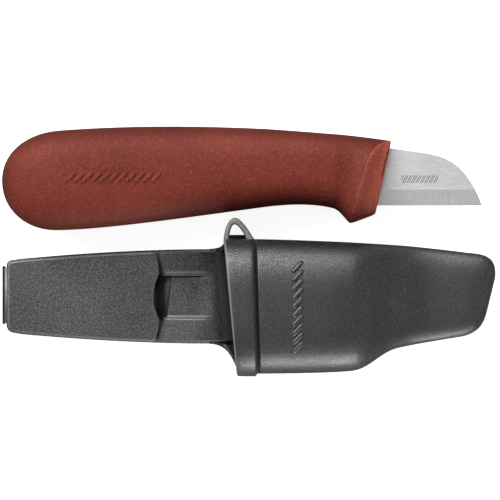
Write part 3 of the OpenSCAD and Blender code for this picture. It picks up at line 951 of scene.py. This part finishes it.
def build_seat(material):
    """One height field over the strap, with fine rows where the moulded lines run."""
    half = strap_half(-20.0) - SEAT_INSET
    vs = [-half + 2 * half * k / 52 for k in range(53)]
    for line in (-CHANNEL_HALF, CHANNEL_HALF):
        vs = [v for v in vs if abs(v - line) > 1.1] + [line + LINE_FINE * k for k in range(-13, 14)]
    vs = sorted(vs + [s * (half - e) for s in (-1, 1) for e in (0.06, 0.18, 0.34)])
    evenly = [k / 60 for k in range(61)]
    by_edge = [0.004, 0.01, 0.022]
    by_recess = [0.06 + 0.0065 * k for k in range(30)]
    shares = sorted(evenly + by_edge + by_recess)
    shares = [s for k, s in enumerate(shares) if k == 0 or s - shares[k - 1] > 0.001]
    top, base, shade = [], [], []
    for v in vs:
        y = TONGUE_Y + v
        start, end = edge_arc(v) + FLAP_GAP, mouth_x(y) + 1.2
        for share in shares:
            x = start + (end - start) * share
            bend = v * (strap_half(x) - SEAT_INSET) / half
            from_edge = min(x - start, half - abs(v))
            top.append((x, TONGUE_Y + bend + SHEATH_Y, seat_z(x, v, from_edge)))
            base.append((x, TONGUE_Y + bend + SHEATH_Y, TONGUE_T - 0.6))
            shade.append(seat_shade(x, v, x - start))
    rows, columns = len(vs), len(shares)
    count = rows * columns
    faces = []
    for j in range(rows - 1):
        for i in range(columns - 1):
            quad = (j * columns + i, j * columns + i + 1, (j + 1) * columns + i + 1, (j + 1) * columns + i)
            faces.append(quad)
            faces.append(tuple(count + q for q in reversed(quad)))
    rim = ([i for i in range(columns)] + [j * columns + columns - 1 for j in range(1, rows)]
           + [(rows - 1) * columns + i for i in range(columns - 2, -1, -1)]
           + [j * columns for j in range(rows - 2, 0, -1)])
    for a, b in zip(rim, rim[1:] + rim[:1]):
        faces.append((a, b, count + b, count + a))
    piece = make_mesh("flap_seat_block", top + base, faces)
    mark_painted_light(piece, shade + shade)
    finish_piece(piece, "sheath", material, "sheath_grey", "flap_seat")
    xs = [RECESS_X + (edge_arc(0) + FLAP_GAP + 0.2 - RECESS_X) * k / 24 for k in range(25)]
    rows = [[(x, y, recess_floor(x)) for x in xs] + [(x, y, TONGUE_T - 0.6) for x in reversed(xs)]
            for y in (SHEATH_Y + TONGUE_Y + s * (CHANNEL_HALF - 0.1) for s in (-1, 1))]
    ramp = loft("finger_recess_ramp", rows)
    mark_painted_light(ramp, [recess_shade(x) for row in rows for x, _, _ in row])
    return finish_piece(ramp, "sheath", material, "sheath_grey")


EYE_Z = 14.0
EYE_T = 3.0
EYE_BEVEL = 0.38
EYE_FOOT = 22.3


def join_curves(first, second, steps=20):
    """Points along two cubic curves that meet end to end."""
    return ([cubic(first, k / steps) for k in range(steps)]
            + [cubic(second, k / steps) for k in range(steps + 1)])


def build_eye(material):
    """Ring of the eye, and the sunk web that closes it against the collar."""
    base = MOUTH_TOP[1] - 1.2
    left = [(-7.65, base), (-7.5, 23.8), (-6.2, 27.3), (-4.1, 27.3)]
    right = [(-4.1, 27.3), (-2.2, 27.3), (0.2, 23.4), (2.3, base)]
    hole_left = [(-5.95, base), (-5.9, 23.6), (-5.0, 25.3), (-4.25, 25.3)]
    hole_right = [(-4.25, 25.3), (-3.4, 25.3), (-1.7, 23.6), (-0.35, base)]
    outer = join_curves(left, right)
    inner = join_curves(hole_left, hole_right)
    top, low = EYE_Z + EYE_T / 2, EYE_Z - EYE_T / 2
    b = EYE_BEVEL
    rows = []
    for (ax, ay), (bx, by) in zip(outer, inner):
        span = math.dist((ax, ay), (bx, by))
        shape = [(0, low + b), (0, top - b * 1.6), (b * 0.25, top - b * 0.7),
                 (b, top - b * 0.1), (b * 1.3, top), (span - b * 1.3, top),
                 (span - b, top - b * 0.1), (span - b * 0.25, top - b * 0.7),
                 (span, top - b * 1.6), (span, low + b), (span - b, low), (b, low)]
        rows.append([(*between((ax, ay + SHEATH_Y), (bx, by + SHEATH_Y), d / span), z) for d, z in shape])
    ring = loft("lanyard_eye_ring", rows)
    # Painted shade on the ring's sides, bevels and underside, open on its flat top.
    dark = [0.85, 0.85, 0.6, 0.2, 0, 0, 0.2, 0.6, 0.85, 0.95, 0.95, 0.95]
    mark_painted_light(ring, dark * len(rows))
    finish_piece(ring, "sheath", material, "sheath_grey", "lanyard_eye")
    web_z = EYE_Z - EYE_T / 2 - 3.4
    outline = [(-6.6, base), (0.2, base), (-0.6, EYE_FOOT - 0.15), (-6.2, EYE_FOOT - 0.15)]
    outline = [(x, y + SHEATH_Y) for x, y in resample(outline, 0.6)]
    web = plate("lanyard_eye_web", outline, web_z - 1.4, web_z, 0.12, 0.12)
    # The web is painted dark all over, as painted shade under the ring.
    mark_painted_light(web, [1.0] * len(web.data.vertices))
    return finish_piece(web, "sheath", material, "sheath_grey")


def build_fold(material):
    """Web between the two folds, and the thin films along each fold line."""
    low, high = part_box("fold_strap")
    x0, x1, y0, y1 = (v / MM for v in (low.x, high.x, low.y, high.y))
    z0, z1 = TONGUE_T / 2, FLAP_Z + FLAP_T / 2
    radius = (x1 - x0) / 2
    centre = (x0 + x1) / 2
    outline = []
    for start, z in ((math.pi, z0), (0, z1)):
        angles = [start + math.pi * k / 8 for k in range(9)]
        outline += [(centre + radius * math.cos(a), z + radius * math.sin(a)) for a in angles]
    rows = [[(x, y, z) for x, z in offset_outline(outline, d)]
            for y, d in ((y0, 0.2), (y0 + 0.2, 0), (y1 - 0.2, 0), (y1, 0.2))]
    web = loft("fold_web", rows)
    # The web is painted dark all over, as painted shade in the fold.
    mark_painted_light(web, [1.0] * len(web.data.vertices))
    finish_piece(web, "strap", material, "sheath_grey", "fold_strap")
    film = 0.18
    films = (("fold_film_low", z0, ("sheath", "strap")), ("fold_film_high", z1, ("strap", "flap")))
    for name, z, bodies in films:
        steps = 10
        start, end = centre + radius * 0.2, STRAP_X + 0.5
        rows = []
        for k in range(steps + 1):
            x = start + (end - start) * k / steps
            rows.append([(x, y, z + s) for y, s in ((y0 + 0.3, -film), (y1 - 0.3, -film), (y1 - 0.3, film),
                                                    (y0 + 0.3, film))])
        piece = loft(name, rows)
        # Painted highlight along each film.
        mark_painted_light(piece, [-0.5] * len(piece.data.vertices))
        piece.data.materials.append(material)
        ends = [(x * MM, (y0 + y1) / 2 * MM, z * MM) for x in (STRAP_X, x1)]
        if bodies[0] == "strap":
            ends.reverse()
        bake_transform(piece)


# ---------------------------------------------------------------- the scene

add_camera()
add_studio()
GRIP = red_plastic("grip_red", (0.113, 0.0178, 0.0106), (0.205, 0.036, 0.0225), 0.58, 0.11)
# The core's red is the grip's red painted lighter and more orange, for the light on the nose's facet.
CORE_RED_PAINTED_LIGHT = red_plastic("core_red", (0.22, 0.043, 0.026), (0.38, 0.087, 0.057), 0.54, 0.09)
POUCH_GREY = grey_plastic("pouch_grey", (0.001, 0.001, 0.001), (0.042, 0.042, 0.0425), 0.4, 0.11)
STRAP_GREY = grey_plastic("strap_grey", (0.002, 0.002, 0.002), (0.095, 0.095, 0.0955), 0.42, 0.09)
# A smoother grey painted lighter, for the light on the eye ring's flat face.
SMOOTH_PAINTED_LIGHT_GREY = grey_plastic("smooth_painted_light_grey", (0.13, 0.13, 0.127), (0.24, 0.24, 0.236), 0.34, 0.04)
build_handle(GRIP, CORE_RED_PAINTED_LIGHT)
build_handle_mark(GRIP)
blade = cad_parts["blade"]
blade.data.materials.clear()
blade.data.materials.append(blade_steel())
build_pouch(POUCH_GREY)
build_pouch_mark(POUCH_GREY)
build_tongue(STRAP_GREY)
build_flare(STRAP_GREY)
build_seat(STRAP_GREY)
build_eye(SMOOTH_PAINTED_LIGHT_GREY)
build_flap(STRAP_GREY)
build_fold(STRAP_GREY)
